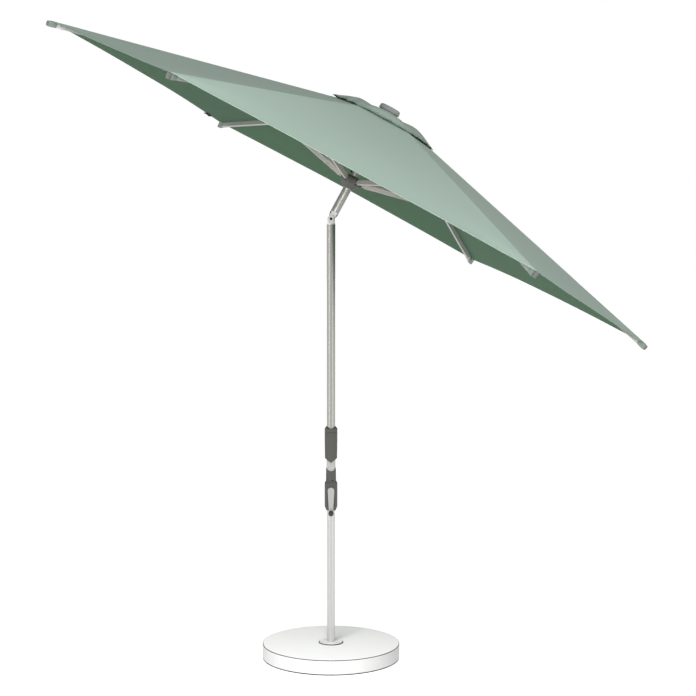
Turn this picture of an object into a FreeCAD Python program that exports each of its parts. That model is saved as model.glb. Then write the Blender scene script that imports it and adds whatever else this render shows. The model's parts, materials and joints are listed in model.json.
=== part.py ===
"""Tilting crank parasol on a round weighted base. Millimetres, +Z up, origin under the base's centre.

The head (upper pole, ribs, struts, canopy) is drawn upright about the knuckle's pivot, then tilted
towards +X and lifted onto the main pole.
"""
import FreeCAD, Part
import math
import os

V = FreeCAD.Vector
UP = V(0, 0, 1)
CENTRE = V(0, 0, 0)

# Driving dimensions
TILT = 28.4                 # degrees from upright, towards +X
PIVOT_Z = 1953.0            # knuckle pivot above the ground
RIB_COUNT = 6
SPACING = 360.0 / RIB_COUNT

# Base
BASE_R = 305.0
BASE_H = 65.0
PAD_H = 4.5
BEAD_R = 2.4                # section radius of the bead in the slab's top edge
SOCKET_FLOOR = 12.0         # height of the blind hole's floor in the slab
FLANGE_R = 51.0
FLANGE_T = 3.0
GASKET_R = 55.0
GASKET_T = 3.0
SOCKET_WALL = 3.0
SCREW_CIRCLE = 38.0
SCREW_COUNT = 4
SCREW_R = 2.5
SCREW_HEAD_R = 5.0
SCREW_REACH = 35.0          # depth of the screws in the slab

# Poles
LOWER_R = 18.0
MAIN_R = 19.0
WALL = 1.8
LOWER_TOP = 700.0
MAIN_FOOT = 800.0
PLUG_REACH = 50.0           # length of each spigot in its tube
MAIN_TOP_DROP = 24.0        # main pole's top below the pivot
UPPER_FOOT = 35.0           # upper pole's foot above the pivot
RUN_FIT = 0.05              # radial clearance of running fits
SNUG = 0.05                 # radial play of spigots in tubes

# Crank housing
HOUSING_FOOT = 662.0
HOUSING_TOP = 853.0
HOUSING_R = 28.5
HOUSING_WALL = 3.0
NECK_R = 22.0
NECK_FOOT = 794.0
SHOULDER = 785.0
CHAMFER_TOP = 680.0
HOUSING_DIP = 839.0         # lowest point of the dished rim
CRANK_Z = 753.0
SHAFT_R = 5.0
SPOOL_DRUM_R = 9.0
SPOOL_FLANGE_R = 13.2
SPOOL_HALF = 9.5
CHAMBER_R = 14.0
CHAMBER_HALF = 10.0
BUSH_R = 8.0
BOSS_R = 17.0
BOSS_FACE = 31.0            # distance of the boss's face from the pole's axis
POCKET_HALF = 15.0
POCKET_FLOOR = 22.5
ARM_T = 6.0
ARM_TOP_R = 14.5
ARM_END_R = 9.0
ARM_LENGTH = 98.0
ARM_GAP = 0.5
KNOB_R = 11.5
KNOB_LENGTH = 22.0
KNOB_PIN_R = 4.0
FIXING_SPOTS = ((7.0, 797.5), (9.0, 689.0))     # x and z of the housing's screws
FIXING_R = 1.75
FIXING_HEAD_R = 3.2
FIXING_HEAD_T = 2.0
FIXING_REACH = 10.0
FIXING_SINK = 1.5           # depth of the heads below the housing's skin

# Tilt collar
COLLAR_TIP = 877.0          # lowest point of its pointed skirt
COLLAR_SIDE = 899.0
COLLAR_TOP = 1010.5
CROWN_STEP = 1013.5
CROWN_TOP = 1037.0
CROWN_DIP = 1026.0
COLLAR_R = 28.5
COLLAR_FOOT_R = 27.0
COLLAR_WALL = 4.0
GUIDE_R = 20.2
GUIDE_FIT = 0.08            # radial clearance of the collar on its guide

# Knuckle
CHEEK_IN = 9.5
CHEEK_OUT = 15.0
CHEEK_R = 16.0
TONGUE_HALF = 8.6
TONGUE_R = 14.0
PIN_R = 4.0

# Head, measured from the pivot along the tilted axis
HUB_PIVOT_R = 40.0
HUB_PIVOT_Z = 508.0
HUB_R = 48.0
RIB_LENGTH = 1500.0
RIB_SLOPE = 13.45           # degrees below square to the pole
RIB_W = 14.0
RIB_H = 22.0
RIB_WALL = 1.2
STRUT_AT = 705.0            # strut rivet's distance along the rib
RUNNER_PIVOT_R = 44.0
RUNNER_PIVOT_Z = 190.0
RUNNER_LOW = 153.0
RUNNER_HIGH = 212.0
RUNNER_R = 28.0
LINER_T = 1.4
BUTTON_LOW = 220.0
BUTTON_HIGH = 232.0
BUTTON_AZIMUTH = 195.0
STRUT_W = 12.0
STRUT_H = 20.0
LUG_T = 8.0
LUG_R = 6.5
SLOT_W = 9.0
HINGE_R = 2.0
FORK_IN = 8.0
FORK_OUT = 10.5
FORK_REACH = 52.0
RIVET_R = 3.0
FABRIC_LIFT = 13.5          # fabric's underside above the rib's centreline
FABRIC_T = 1.2
VENT_HOLE_R = 160.0
RIM_R = 1487.0
RIM_HOLLOW = 92.0           # how far each rim edge curves inwards at its middle
VENT_TIERS = ((270, 474), (200, 494), (110, 512), (30, 521))    # corner radius and height
STRAP_SHARE = 0.14          # strap's place between the third and fourth rib tips
STRAP_INSET = 60.0
CORD_R = 1.5
PULLEY_Z = 480.0
PULLEY_GROOVE_R = 7.5
PULLEY_HALF = 3.5
FINIAL_NECK_R = 21.0
FINIAL_LOW = 527.0
FINIAL_TOP = 551.0
FINIAL_R = 49.0


def save(node, shape):
    if not shape.isValid():
        raise RuntimeError(node + " is not a valid shape")
    shape.exportStep("parts/%s.step" % node)


def cylinder(radius, low, high, x=0.0, y=0.0):
    return Part.makeCylinder(radius, high - low, V(x, y, low))


def tube(outer, inner, low, high):
    return cylinder(outer, low, high).cut(cylinder(inner, low - 1, high + 1))


def cross_rod(radius, start, end, x, z):
    """A cylinder along Y between two ends, given in either order."""
    low, high = sorted((start, end))
    return Part.makeCylinder(radius, high - low, V(x, low, z), V(0, 1, 0))


def block(x_low, x_high, y_low, y_high, z_low, z_high):
    return Part.makeBox(x_high - x_low, y_high - y_low, z_high - z_low, V(x_low, y_low, z_low))


def turned(outline):
    """A solid turned about Z from (radius, height) points."""
    points = [V(r, 0, z) for r, z in outline]
    return Part.Face(Part.makePolygon(points + points[:1])).revolve(CENTRE, UP, 360)


def prism(outline, direction):
    """A flat polygon pushed along a direction."""
    return Part.Face(Part.makePolygon(list(outline) + [outline[0]])).extrude(direction)


def joined(shapes):
    """One solid from overlapping shapes."""
    return shapes[0].multiFuse(shapes[1:]).removeSplitter()


def spun(shape, angle):
    return shape.rotated(CENTRE, UP, angle)


def around(shape, first=0.0):
    """Copies of a shape at every rib's angle."""
    return [spun(shape, first + i * SPACING) for i in range(RIB_COUNT)]


def on_head(shape):
    """From the head's upright frame to its tilted place on the pole."""
    placement = FreeCAD.Placement(V(0, 0, PIVOT_Z), FreeCAD.Rotation(V(0, 1, 0), TILT))
    return shape.transformed(placement.toMatrix())


def save_on_head(node, shape):
    save(node, on_head(shape))


def saddle(depth_z, half_width, rise):
    """A wide cylinder along Y that dishes a rim: lowest at depth_z, rise higher at half_width."""
    radius = (half_width ** 2 + rise ** 2) / (2 * rise)
    return cross_rod(radius, -2 * BASE_R, 2 * BASE_R, 0, depth_z + radius)


def make_base():
    top_bead = (BASE_R - BEAD_R, BASE_H - BEAD_R)
    bead = Part.makeTorus(top_bead[0], BEAD_R, V(0, 0, top_bead[1]))
    hole_r = LOWER_R + RUN_FIT + SOCKET_WALL
    slab = cylinder(BASE_R - BEAD_R, PAD_H, BASE_H)
    slab = joined([slab, cylinder(BASE_R, PAD_H, BASE_H - BEAD_R)])
    slab = slab.cut(bead).cut(cylinder(hole_r, SOCKET_FLOOR, BASE_H + 1))

    flange_low = BASE_H + GASKET_T
    flange_top = flange_low + FLANGE_T
    bore_r = LOWER_R + RUN_FIT
    socket = joined([cylinder(FLANGE_R, flange_low, flange_top), cylinder(hole_r, SOCKET_FLOOR, flange_top)])
    socket = socket.cut(cylinder(bore_r, SOCKET_FLOOR - 1, flange_top + 1))
    gasket = tube(GASKET_R, hole_r, BASE_H, flange_low)

    screws = []
    head_t = SCREW_HEAD_R - SCREW_R
    for i in range(SCREW_COUNT):
        angle = 2 * math.pi * (i + 0.5) / SCREW_COUNT
        x, y = SCREW_CIRCLE * math.cos(angle), SCREW_CIRCLE * math.sin(angle)
        head = Part.makeCone(SCREW_R, SCREW_HEAD_R, head_t, V(x, y, flange_top - head_t))
        screws.append(joined([head, cylinder(SCREW_R, BASE_H - SCREW_REACH, flange_top - 2, x, y)]))
    screws = Part.makeCompound(screws)

    save("base_slab", slab.cut(screws))
    save("edge_bead", bead)
    save("foot_pad", cylinder(BASE_R, 0, PAD_H))
    save("flange_gasket", gasket.cut(screws))
    save("socket", socket.cut(screws))
    save("flange_screws", screws)


def screw_face(x, z):
    """Distance of a housing screw's outer face from the pole's middle plane."""
    wide = NECK_R if z > SHOULDER else HOUSING_R
    return math.sqrt(wide ** 2 - x ** 2) - FIXING_SINK


def housing_fixings():
    """Screws from the front and from the rear, each into the core or the lower pole."""
    shapes = []
    for x, z in FIXING_SPOTS:
        face = screw_face(x, z)
        foot = face - FIXING_HEAD_T
        for side in (-1, 1):
            shank = cross_rod(FIXING_R, side * (foot - FIXING_REACH), side * foot, x, z)
            head = cross_rod(FIXING_HEAD_R, side * foot, side * face, x, z)
            shapes.append(joined([shank, head]))
    return Part.makeCompound(shapes)


def fixing_holes():
    """Counterbores over the screws' heads."""
    return Part.makeCompound([
        cross_rod(FIXING_HEAD_R, side * screw_face(x, z), side * (HOUSING_R + 2), x, z)
        for x, z in FIXING_SPOTS for side in (-1, 1)
    ])


def make_poles(fixings):
    lower_in = LOWER_R - WALL
    main_in = MAIN_R - WALL
    main_top = PIVOT_Z - MAIN_TOP_DROP
    foot = SOCKET_FLOOR + 0.4
    lower = tube(LOWER_R, lower_in, foot + 2, LOWER_TOP)
    plug = joined([cylinder(LOWER_R - 0.5, foot, foot + 2), cylinder(lower_in - SNUG, foot + 2, foot + 30)])
    save("lower_pole", lower.cut(fixings))
    save("pole_foot_plug", plug)

    main = tube(MAIN_R, main_in, MAIN_FOOT, main_top)
    save("main_pole", main.cut(fixings))

    cord_x = -(SPOOL_DRUM_R + CORD_R)
    core = joined([
        cylinder(lower_in - SNUG, LOWER_TOP - PLUG_REACH, LOWER_TOP),
        cylinder(MAIN_R + 0.5, LOWER_TOP, MAIN_FOOT),
        cylinder(main_in - SNUG, MAIN_FOOT, MAIN_FOOT + PLUG_REACH),
    ])
    core = core.cut(cross_rod(CHAMBER_R, -CHAMBER_HALF, CHAMBER_HALF, 0, CRANK_Z))
    core = core.cut(cross_rod(BUSH_R, -MAIN_R - 1, MAIN_R + 1, 0, CRANK_Z))
    core = core.cut(cylinder(2 * CORD_R, CRANK_Z, MAIN_FOOT + 60, cord_x))
    save("crank_core", core.cut(fixings))
    save("lift_cord_lower", cylinder(CORD_R, CRANK_Z + 14, PIVOT_Z - 26, cord_x))

    guide = tube(GUIDE_R, MAIN_R, HOUSING_DIP - 6, COLLAR_TOP + 10)
    save("collar_guide", guide)


def make_housing(fixings):
    body = turned([
        (0, HOUSING_FOOT), (MAIN_R + 2.5, HOUSING_FOOT), (HOUSING_R, CHAMFER_TOP), (HOUSING_R, SHOULDER),
        (NECK_R + 0.8, NECK_FOOT), (NECK_R, HOUSING_TOP), (0, HOUSING_TOP),
    ])
    boss = cross_rod(BOSS_R, -BOSS_FACE, -POCKET_FLOOR, 0, CRANK_Z)
    body = body.cut(saddle(HOUSING_DIP, NECK_R, HOUSING_TOP - HOUSING_DIP))
    pocket = joined([
        block(-POCKET_HALF, POCKET_HALF, -HOUSING_R - 1, -POCKET_FLOOR, HOUSING_FOOT - 1, CRANK_Z),
        cross_rod(POCKET_HALF, -HOUSING_R - 1, -POCKET_FLOOR, 0, CRANK_Z),
    ])
    body = joined([body.cut(pocket), boss])
    cavity_r = HOUSING_R - HOUSING_WALL
    cavity = cylinder(cavity_r, CHAMFER_TOP, SHOULDER - 4)
    keep = POCKET_HALF + HOUSING_WALL
    cavity = cavity.cut(block(-keep, keep, -HOUSING_R, -POCKET_FLOOR + 2.3, HOUSING_FOOT, SHOULDER))
    body = body.cut(cavity)
    body = body.cut(cylinder(MAIN_R + 0.5, LOWER_TOP - 5, HOUSING_TOP + 1))
    body = body.cut(cylinder(LOWER_R, HOUSING_FOOT - 1, LOWER_TOP))
    body = body.cut(cylinder(GUIDE_R, HOUSING_DIP - 6, HOUSING_TOP + 1))
    body = body.cut(cross_rod(SHAFT_R + 0.4, -BOSS_FACE - 1, 0, 0, CRANK_Z))
    body = body.cut(cross_rod(BUSH_R + 2, -BOSS_FACE + 3, 0, 0, CRANK_Z))
    body = body.cut(fixings).cut(fixing_holes())
    wide = HOUSING_R + 5
    front = body.common(block(-wide, wide, -wide, 0, HOUSING_FOOT - 1, HOUSING_TOP + 1))
    rear = body.common(block(-wide, wide, 0, wide, HOUSING_FOOT - 1, HOUSING_TOP + 1))
    save("housing_front", front)
    save("housing_rear", rear)
    save("housing_screws", fixings)


def arm_outline(y):
    """Two circles joined by their outer tangents, in the plane at y."""
    sine = (ARM_TOP_R - ARM_END_R) / ARM_LENGTH
    cosine = math.sqrt(1 - sine ** 2)
    end_z = CRANK_Z - ARM_LENGTH

    def touch(side, radius, z):
        return V(side * radius * cosine, y, z - radius * sine)

    top = [touch(-1, ARM_TOP_R, CRANK_Z), V(0, y, CRANK_Z + ARM_TOP_R), touch(1, ARM_TOP_R, CRANK_Z)]
    end = [touch(1, ARM_END_R, end_z), V(0, y, end_z - ARM_END_R), touch(-1, ARM_END_R, end_z)]
    edges = [Part.Arc(*top).toShape(), Part.LineSegment(top[2], end[0]).toShape()]
    edges += [Part.Arc(*end).toShape(), Part.LineSegment(end[2], top[0]).toShape()]
    return Part.Face(Part.Wire(edges))


def make_crank():
    arm_in = -(BOSS_FACE + ARM_GAP)
    arm_out = arm_in - ARM_T
    end_z = CRANK_Z - ARM_LENGTH
    shaft = cross_rod(SHAFT_R, arm_out + 1, BUSH_R + 8, 0, CRANK_Z)
    spool = joined([
        cross_rod(SPOOL_DRUM_R, -SPOOL_HALF, SPOOL_HALF, 0, CRANK_Z),
        cross_rod(SPOOL_FLANGE_R, -SPOOL_HALF, -SPOOL_HALF + 2, 0, CRANK_Z),
        cross_rod(SPOOL_FLANGE_R, SPOOL_HALF - 2, SPOOL_HALF, 0, CRANK_Z),
    ]).cut(shaft)
    knob_in = arm_out - ARM_GAP
    knob_out = knob_in - KNOB_LENGTH
    pin = joined([
        cross_rod(KNOB_PIN_R, knob_out - ARM_GAP, arm_in - 1, 0, end_z),
        cross_rod(KNOB_PIN_R + 2, knob_out - ARM_GAP - 1.5, knob_out - ARM_GAP, 0, end_z),
    ])
    arm = arm_outline(arm_in).extrude(V(0, -ARM_T, 0)).cut(shaft).cut(pin)
    waist = KNOB_R - 1.5
    knob = turned([
        (0, 0), (waist, 0), (KNOB_R, 6), (KNOB_R, KNOB_LENGTH - 3), (waist, KNOB_LENGTH), (0, KNOB_LENGTH),
    ])
    knob = knob.cut(cylinder(KNOB_PIN_R + RUN_FIT, -1, KNOB_LENGTH + 1))
    knob = knob.rotated(CENTRE, V(1, 0, 0), 90).translated(V(0, knob_in, end_z))
    save("crank_shaft", shaft)
    save("cord_spool", spool)
    save("crank_arm", arm)
    save("knob_pin", pin)
    save("crank_knob", knob)

    bush = cross_rod(BUSH_R, -17, -CHAMBER_HALF, 0, CRANK_Z)
    bushes = Part.makeCompound([bush, bush.rotated(V(0, 0, CRANK_Z), UP, 180)])
    save("spool_bushes", bushes.cut(cross_rod(SHAFT_R + RUN_FIT, -30, 30, 0, CRANK_Z)))
    coils = [Part.makeTorus(BUSH_R, 0.8, V(0, -20.5 - 1.5 * i, CRANK_Z), V(0, 1, 0)) for i in range(5)]
    save("brake_spring", joined(coils))


def make_collar():
    bore_r = GUIDE_R + GUIDE_FIT
    skirt = turned([
        (bore_r, COLLAR_TIP), (COLLAR_FOOT_R, COLLAR_TIP), (COLLAR_R, COLLAR_TOP - 25),
        (COLLAR_R, COLLAR_TOP), (bore_r, COLLAR_TOP),
    ])
    skirt = skirt.cut(cylinder(COLLAR_R - COLLAR_WALL, COLLAR_SIDE + 16, COLLAR_TOP - 2 * COLLAR_WALL))
    far = 2 * COLLAR_R
    point = prism([
        V(-far, -far, COLLAR_TIP - 10), V(-far, -far, COLLAR_SIDE + 18), V(-6, -far, COLLAR_TIP + 3.5),
        V(0, -far, COLLAR_TIP), V(6, -far, COLLAR_TIP + 3.5), V(far, -far, COLLAR_SIDE + 18),
        V(far, -far, COLLAR_TIP - 10),
    ], V(0, 2 * far, 0))
    save("tilt_collar", skirt.cut(point))

    crown = turned([
        (bore_r, COLLAR_TOP), (COLLAR_R - 1.8, COLLAR_TOP), (COLLAR_R - 1.8, CROWN_STEP),
        (COLLAR_R, CROWN_STEP), (COLLAR_R, CROWN_DIP + 1),
        (GUIDE_R + 0.6, CROWN_TOP), (bore_r, CROWN_TOP),
    ])
    save("collar_crown", crown.cut(saddle(CROWN_DIP, GUIDE_R, CROWN_TOP - CROWN_DIP)))


def make_knuckle():
    top = -MAIN_TOP_DROP
    cheek = joined([
        block(-CHEEK_R, CHEEK_R, CHEEK_IN, CHEEK_OUT, top, 0),
        cross_rod(CHEEK_R, CHEEK_IN, CHEEK_OUT, 0, 0),
    ]).common(cylinder(MAIN_R, top - 1, CHEEK_R + 1))
    fork = joined([
        cylinder(MAIN_R - WALL - SNUG, top - PLUG_REACH, top), cylinder(MAIN_R, top, top + 4),
        cheek, spun(cheek, 180),
    ])
    pin = cross_rod(PIN_R, -CHEEK_OUT - 0.5, CHEEK_OUT + 0.5, 0, 0)
    pin = joined([pin, cross_rod(PIN_R + 2, -CHEEK_OUT - 2, -CHEEK_OUT, 0, 0),
                  cross_rod(PIN_R + 2, CHEEK_OUT, CHEEK_OUT + 2, 0, 0)])
    fork = fork.cut(pin).cut(cylinder(2 * CORD_R, top - 60, top + 10, -(SPOOL_DRUM_R + CORD_R)))
    lift = V(0, 0, PIVOT_Z)
    save("knuckle_fork", fork.translated(lift))
    save("knuckle_pin", pin.translated(lift))

    cord_x = -(PULLEY_GROOVE_R + CORD_R)
    tongue = joined([
        block(-TONGUE_R, TONGUE_R, -TONGUE_HALF, TONGUE_HALF, 0, UPPER_FOOT),
        cross_rod(TONGUE_R, -TONGUE_HALF, TONGUE_HALF, 0, 0),
        cylinder(MAIN_R, UPPER_FOOT - 4, UPPER_FOOT),
        cylinder(MAIN_R - WALL - SNUG, UPPER_FOOT, UPPER_FOOT + 45),
    ])
    tongue = tongue.cut(cross_rod(PIN_R + RUN_FIT, -20, 20, 0, 0))
    tongue = tongue.cut(cylinder(2 * CORD_R, 16, UPPER_FOOT + 60, cord_x))
    save_on_head("knuckle_tongue", tongue)
    wedge = prism([
        V(-TONGUE_R, 0, UPPER_FOOT - 4), V(-MAIN_R + 0.5, 0, UPPER_FOOT - 4),
        V(-MAIN_R + 0.5, 0, UPPER_FOOT - 11), V(-TONGUE_R, 0, UPPER_FOOT - 26),
    ], V(0, 2 * TONGUE_HALF, 0)).translated(V(0, -TONGUE_HALF, 0))
    save_on_head("knuckle_buffer", Part.makeCompound([wedge, spun(wedge, 180)]))


def slots(low, high, inner):
    """Radial slots for the ribs' or struts' lugs."""
    return Part.makeCompound(around(block(inner, 2 * HUB_R, -SLOT_W / 2, SLOT_W / 2, low, high)))


def hinge_pins(radius, height):
    return Part.makeCompound(around(cross_rod(HINGE_R, -11, 11, radius, height)))


def make_hub():
    low, high = HUB_PIVOT_Z - 13, HUB_PIVOT_Z + 9
    pins = hinge_pins(HUB_PIVOT_R, HUB_PIVOT_Z)
    hub = joined([
        cylinder(HUB_R, low, high), cylinder(MAIN_R + 5, low - 14, low + 1),
        cylinder(MAIN_R - WALL - SNUG, PULLEY_Z - 25, low),
    ])
    pole_top = low - 2
    hub = hub.cut(tube(MAIN_R, MAIN_R - WALL, PULLEY_Z - 30, pole_top))
    hub = hub.cut(slots(low - 20, high + 1, HUB_PIVOT_R - LUG_R - 1)).cut(pins)
    gap = PULLEY_HALF + 1
    hub = hub.cut(block(-12, 12, -gap, gap, PULLEY_Z - 30, PULLEY_Z + 12))
    pulley_pin = cross_rod(2.5, -14, 14, 0, PULLEY_Z)
    pulley = cross_rod(PULLEY_GROOVE_R + 1.2, -PULLEY_HALF, PULLEY_HALF, 0, PULLEY_Z)
    groove = Part.makeTorus(PULLEY_GROOVE_R + CORD_R, CORD_R, V(0, 0, PULLEY_Z), V(0, 1, 0))
    save_on_head("top_hub", hub.cut(pulley_pin))
    save_on_head("hub_pins", pins)
    save_on_head("pulley_pin", pulley_pin)
    save_on_head("cord_pulley", pulley.cut(groove).cut(pulley_pin))
    save_on_head("upper_pole", tube(MAIN_R, MAIN_R - WALL, UPPER_FOOT, pole_top))
    cord_x = -(PULLEY_GROOVE_R + CORD_R)
    save_on_head("lift_cord_upper", cylinder(CORD_R, UPPER_FOOT - 16, PULLEY_Z, cord_x))
    button = block(MAIN_R - 0.6, MAIN_R + 4.5, -4.5, 4.5, BUTTON_LOW, BUTTON_HIGH)
    button = button.cut(cylinder(MAIN_R, BUTTON_LOW - 1, BUTTON_HIGH + 1))
    save_on_head("stop_button", spun(button, BUTTON_AZIMUTH))


def make_finial():
    low = HUB_PIVOT_Z + 9
    foot_r = FINIAL_NECK_R + 8
    base = turned([
        (0, low), (foot_r, low), (foot_r, low + 2), (FINIAL_NECK_R, low + 5),
        (FINIAL_NECK_R, FINIAL_LOW), (0, FINIAL_LOW),
    ])
    cap = turned([
        (0, FINIAL_LOW), (FINIAL_R - 4, FINIAL_LOW), (FINIAL_R, FINIAL_LOW + 4),
        (FINIAL_R, FINIAL_TOP - 7), (FINIAL_R - 5, FINIAL_TOP - 1), (0, FINIAL_TOP),
    ])
    save_on_head("finial_base", base)
    save_on_head("finial_cap", cap)


def make_runner():
    low, high = RUNNER_LOW, RUNNER_HIGH
    ear_low, ear_high = RUNNER_PIVOT_Z - 11, RUNNER_PIVOT_Z + 11
    ear_r = RUNNER_PIVOT_R + 7
    liner_r = MAIN_R + LINER_T
    pins = hinge_pins(RUNNER_PIVOT_R, RUNNER_PIVOT_Z)
    sleeve = turned([
        (0, low), (RUNNER_R - 5, low), (RUNNER_R, ear_low),
        (RUNNER_R, ear_high), (RUNNER_R - 3, high), (0, high),
    ])
    ears = turned([
        (0, low), (RUNNER_R - 5, low), (ear_r - 3, ear_low), (ear_r, ear_low + 4),
        (ear_r, ear_high), (0, ear_high),
    ])
    ears = ears.cut(Part.makeCompound(around(cylinder(20, low - 1, high, ear_r + 13), SPACING / 2)))
    runner = joined([sleeve, ears]).cut(slots(ear_low - 1, ear_high + 1, RUNNER_PIVOT_R - LUG_R - 1))
    runner = runner.cut(pins).cut(cylinder(liner_r, low - 1, high + 1))
    save_on_head("runner", runner)
    save_on_head("runner_pins", pins)
    save_on_head("runner_liner", tube(liner_r, MAIN_R + RUN_FIT, low + 2, high - 2))


def lug():
    """A drilled tongue about the origin, pointing along +X."""
    shape = joined([
        block(0, 30, -LUG_T / 2, LUG_T / 2, -LUG_R, LUG_R), cross_rod(LUG_R, -LUG_T / 2, LUG_T / 2, 0, 0),
    ])
    return shape.cut(cross_rod(HINGE_R + RUN_FIT, -LUG_T, LUG_T, 0, 0))


def box_tube(width, height, start, end):
    """A rectangular tube along +X with a shallow groove down each side, solid for its first 14 mm."""
    half_w, half_h = width / 2, height / 2
    shape = block(start, end, -half_w, half_w, -half_h, half_h)
    inner_w, inner_h = half_w - RIB_WALL, half_h - RIB_WALL
    shape = shape.cut(block(start + 14, end + 1, -inner_w, inner_w, -inner_h, inner_h))
    depth = RIB_WALL / 2
    for side in (-1, 1):
        low, high = sorted((side * (half_w - depth), side * (half_w + 1)))
        shape = shape.cut(block(start + 14, end + 1, low, high, -2.0, 2.0))
    return shape


def make_rib():
    """A rib along +X from its hinge, with the strut's rivet through it."""
    rivet = joined([
        cross_rod(RIVET_R, -FORK_OUT - 2, FORK_OUT + 2, STRUT_AT, 0),
        cross_rod(RIVET_R + 2.5, -FORK_OUT - 2, -FORK_OUT - 0.4, STRUT_AT, 0),
        cross_rod(RIVET_R + 2.5, FORK_OUT + 0.4, FORK_OUT + 2, STRUT_AT, 0),
    ])
    return joined([lug(), box_tube(RIB_W, RIB_H, 18, RIB_LENGTH - 6), rivet])


def make_strut(length):
    """A strut along +X from its hinge on the runner, ending in a fork about the rib."""
    fork_foot = length - FORK_REACH
    cheek = joined([
        block(fork_foot - 14, length, FORK_IN, FORK_OUT, -7, 7), cross_rod(7, FORK_IN, FORK_OUT, length, 0),
    ])
    bridge = block(fork_foot - 14, fork_foot, -FORK_OUT, FORK_OUT, -7, 7)
    strut = joined([
        lug(), box_tube(STRUT_W, STRUT_H, 16, fork_foot - 4), bridge, cheek, cheek.mirror(CENTRE, V(0, 1, 0)),
    ])
    return strut.cut(cross_rod(RIVET_R + 0.5, -FORK_OUT - 1, FORK_OUT + 1, length, 0))


def make_frame():
    slope = math.radians(RIB_SLOPE)
    joint_r = HUB_PIVOT_R + STRUT_AT * math.cos(slope)
    joint_z = HUB_PIVOT_Z - STRUT_AT * math.sin(slope)
    reach, rise = joint_r - RUNNER_PIVOT_R, joint_z - RUNNER_PIVOT_Z
    climb = math.degrees(math.atan2(rise, reach))
    rib = make_rib().rotated(CENTRE, V(0, 1, 0), RIB_SLOPE).translated(V(HUB_PIVOT_R, 0, HUB_PIVOT_Z))
    strut = make_strut(math.hypot(reach, rise)).rotated(CENTRE, V(0, 1, 0), -climb)
    strut = strut.translated(V(RUNNER_PIVOT_R, 0, RUNNER_PIVOT_Z))
    for i, (one_rib, one_strut) in enumerate(zip(around(rib), around(strut)), 1):
        save_on_head("rib_%d" % i, one_rib)
        save_on_head("strut_%d" % i, one_strut)


def ridge(radius, angle):
    """A point of the fabric's underside on the ridge over the rib at this angle."""
    slope = math.radians(RIB_SLOPE)
    drop = (radius - HUB_PIVOT_R) * math.tan(slope)
    height = HUB_PIVOT_Z + FABRIC_LIFT / math.cos(slope) - drop
    return V(radius * math.cos(math.radians(angle)), radius * math.sin(math.radians(angle)), height)


def make_gore():
    """One flat panel between two ribs, its rim hollow, its sides on the ribs' centre planes."""
    inner = [ridge(VENT_HOLE_R, 0), ridge(VENT_HOLE_R, SPACING)]
    outer = [ridge(RIM_R, 0), ridge(RIM_R, SPACING)]
    middle = (outer[0] + outer[1]) * 0.5
    inward = ((inner[0] + inner[1]) * 0.5 - middle).normalize()
    rim = Part.Arc(outer[0], middle + inward * RIM_HOLLOW, outer[1]).toShape()
    edges = [
        Part.LineSegment(inner[0], outer[0]).toShape(), rim,
        Part.LineSegment(outer[1], inner[1]).toShape(), Part.LineSegment(inner[1], inner[0]).toShape(),
    ]
    return Part.Face(Part.Wire(edges)).extrude(V(0, 0, FABRIC_T))


def make_vent_cap():
    """A hexagonal cap in three tiers, standing off the canopy."""
    panels = []
    for (outer_r, outer_z), (inner_r, inner_z) in zip(VENT_TIERS, VENT_TIERS[1:]):
        half = math.radians(SPACING / 2)
        corners = [
            V(r * math.cos(a), r * math.sin(a), z)
            for r, z, a in ((outer_r, outer_z, -half), (outer_r, outer_z, half),
                            (inner_r, inner_z, half), (inner_r, inner_z, -half))
        ]
        panels.append(prism(corners, V(0, 0, 2 * FABRIC_T)))
    return joined([p for panel in panels for p in around(panel, SPACING / 2)])


def make_strap():
    """A tie strap folded under the hem between the third and fourth ribs."""
    edge = ridge(RIM_R, 2 * SPACING) * (1 - STRAP_SHARE) + ridge(RIM_R, 3 * SPACING) * STRAP_SHARE
    inward = V(-edge.x, -edge.y, 0).normalize()
    place = edge + inward * STRAP_INSET
    strap = block(-2, 2, -11, 11, -50, -4)
    turn = math.degrees(math.atan2(inward.y, inward.x))
    return spun(strap, turn).translated(place)


def make_canopy():
    for i, gore in enumerate(around(make_gore()), 1):
        save_on_head("gore_%d" % i, gore)
    save_on_head("vent_cap", make_vent_cap())
    save_on_head("tie_strap", make_strap())


os.makedirs("parts", exist_ok=True)
screws = housing_fixings()
make_base()
make_poles(screws)
make_housing(screws)
make_crank()
make_collar()
make_knuckle()
make_hub()
make_finial()
make_runner()
make_frame()
make_canopy()
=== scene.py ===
"""Looks of a tilting crank parasol: canopy, vent cap, fittings, finishes and studio round its CAD frame.

Lengths are metres in the frame's axes. The head (canopy, ribs, upper pole) is laid out upright about the
knuckle's pivot, with +Z along the upper pole, and HEAD carries it to its tilted place.
"""

import json
import math

import bmesh
import bpy
import numpy as np
from bpy.props import FloatProperty, FloatVectorProperty, PointerProperty
from mathutils import Matrix, Vector


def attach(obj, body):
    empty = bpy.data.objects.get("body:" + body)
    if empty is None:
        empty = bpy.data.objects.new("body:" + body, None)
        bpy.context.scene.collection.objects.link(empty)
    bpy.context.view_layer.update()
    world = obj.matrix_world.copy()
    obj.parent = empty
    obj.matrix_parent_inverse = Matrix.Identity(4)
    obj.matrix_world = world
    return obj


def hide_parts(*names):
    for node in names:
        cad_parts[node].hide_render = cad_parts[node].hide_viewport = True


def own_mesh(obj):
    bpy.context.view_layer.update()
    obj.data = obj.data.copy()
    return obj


bl_info = {
    "name": "Crank Parasol",
    "version": (1, 0, 0),
    "blender": (4, 5, 0),
    "location": "View3D > Sidebar > Parasol",
    "description": "Builds a tilting crank parasol's cloth, fittings, finishes and studio",
    "category": "Object",
}

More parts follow.
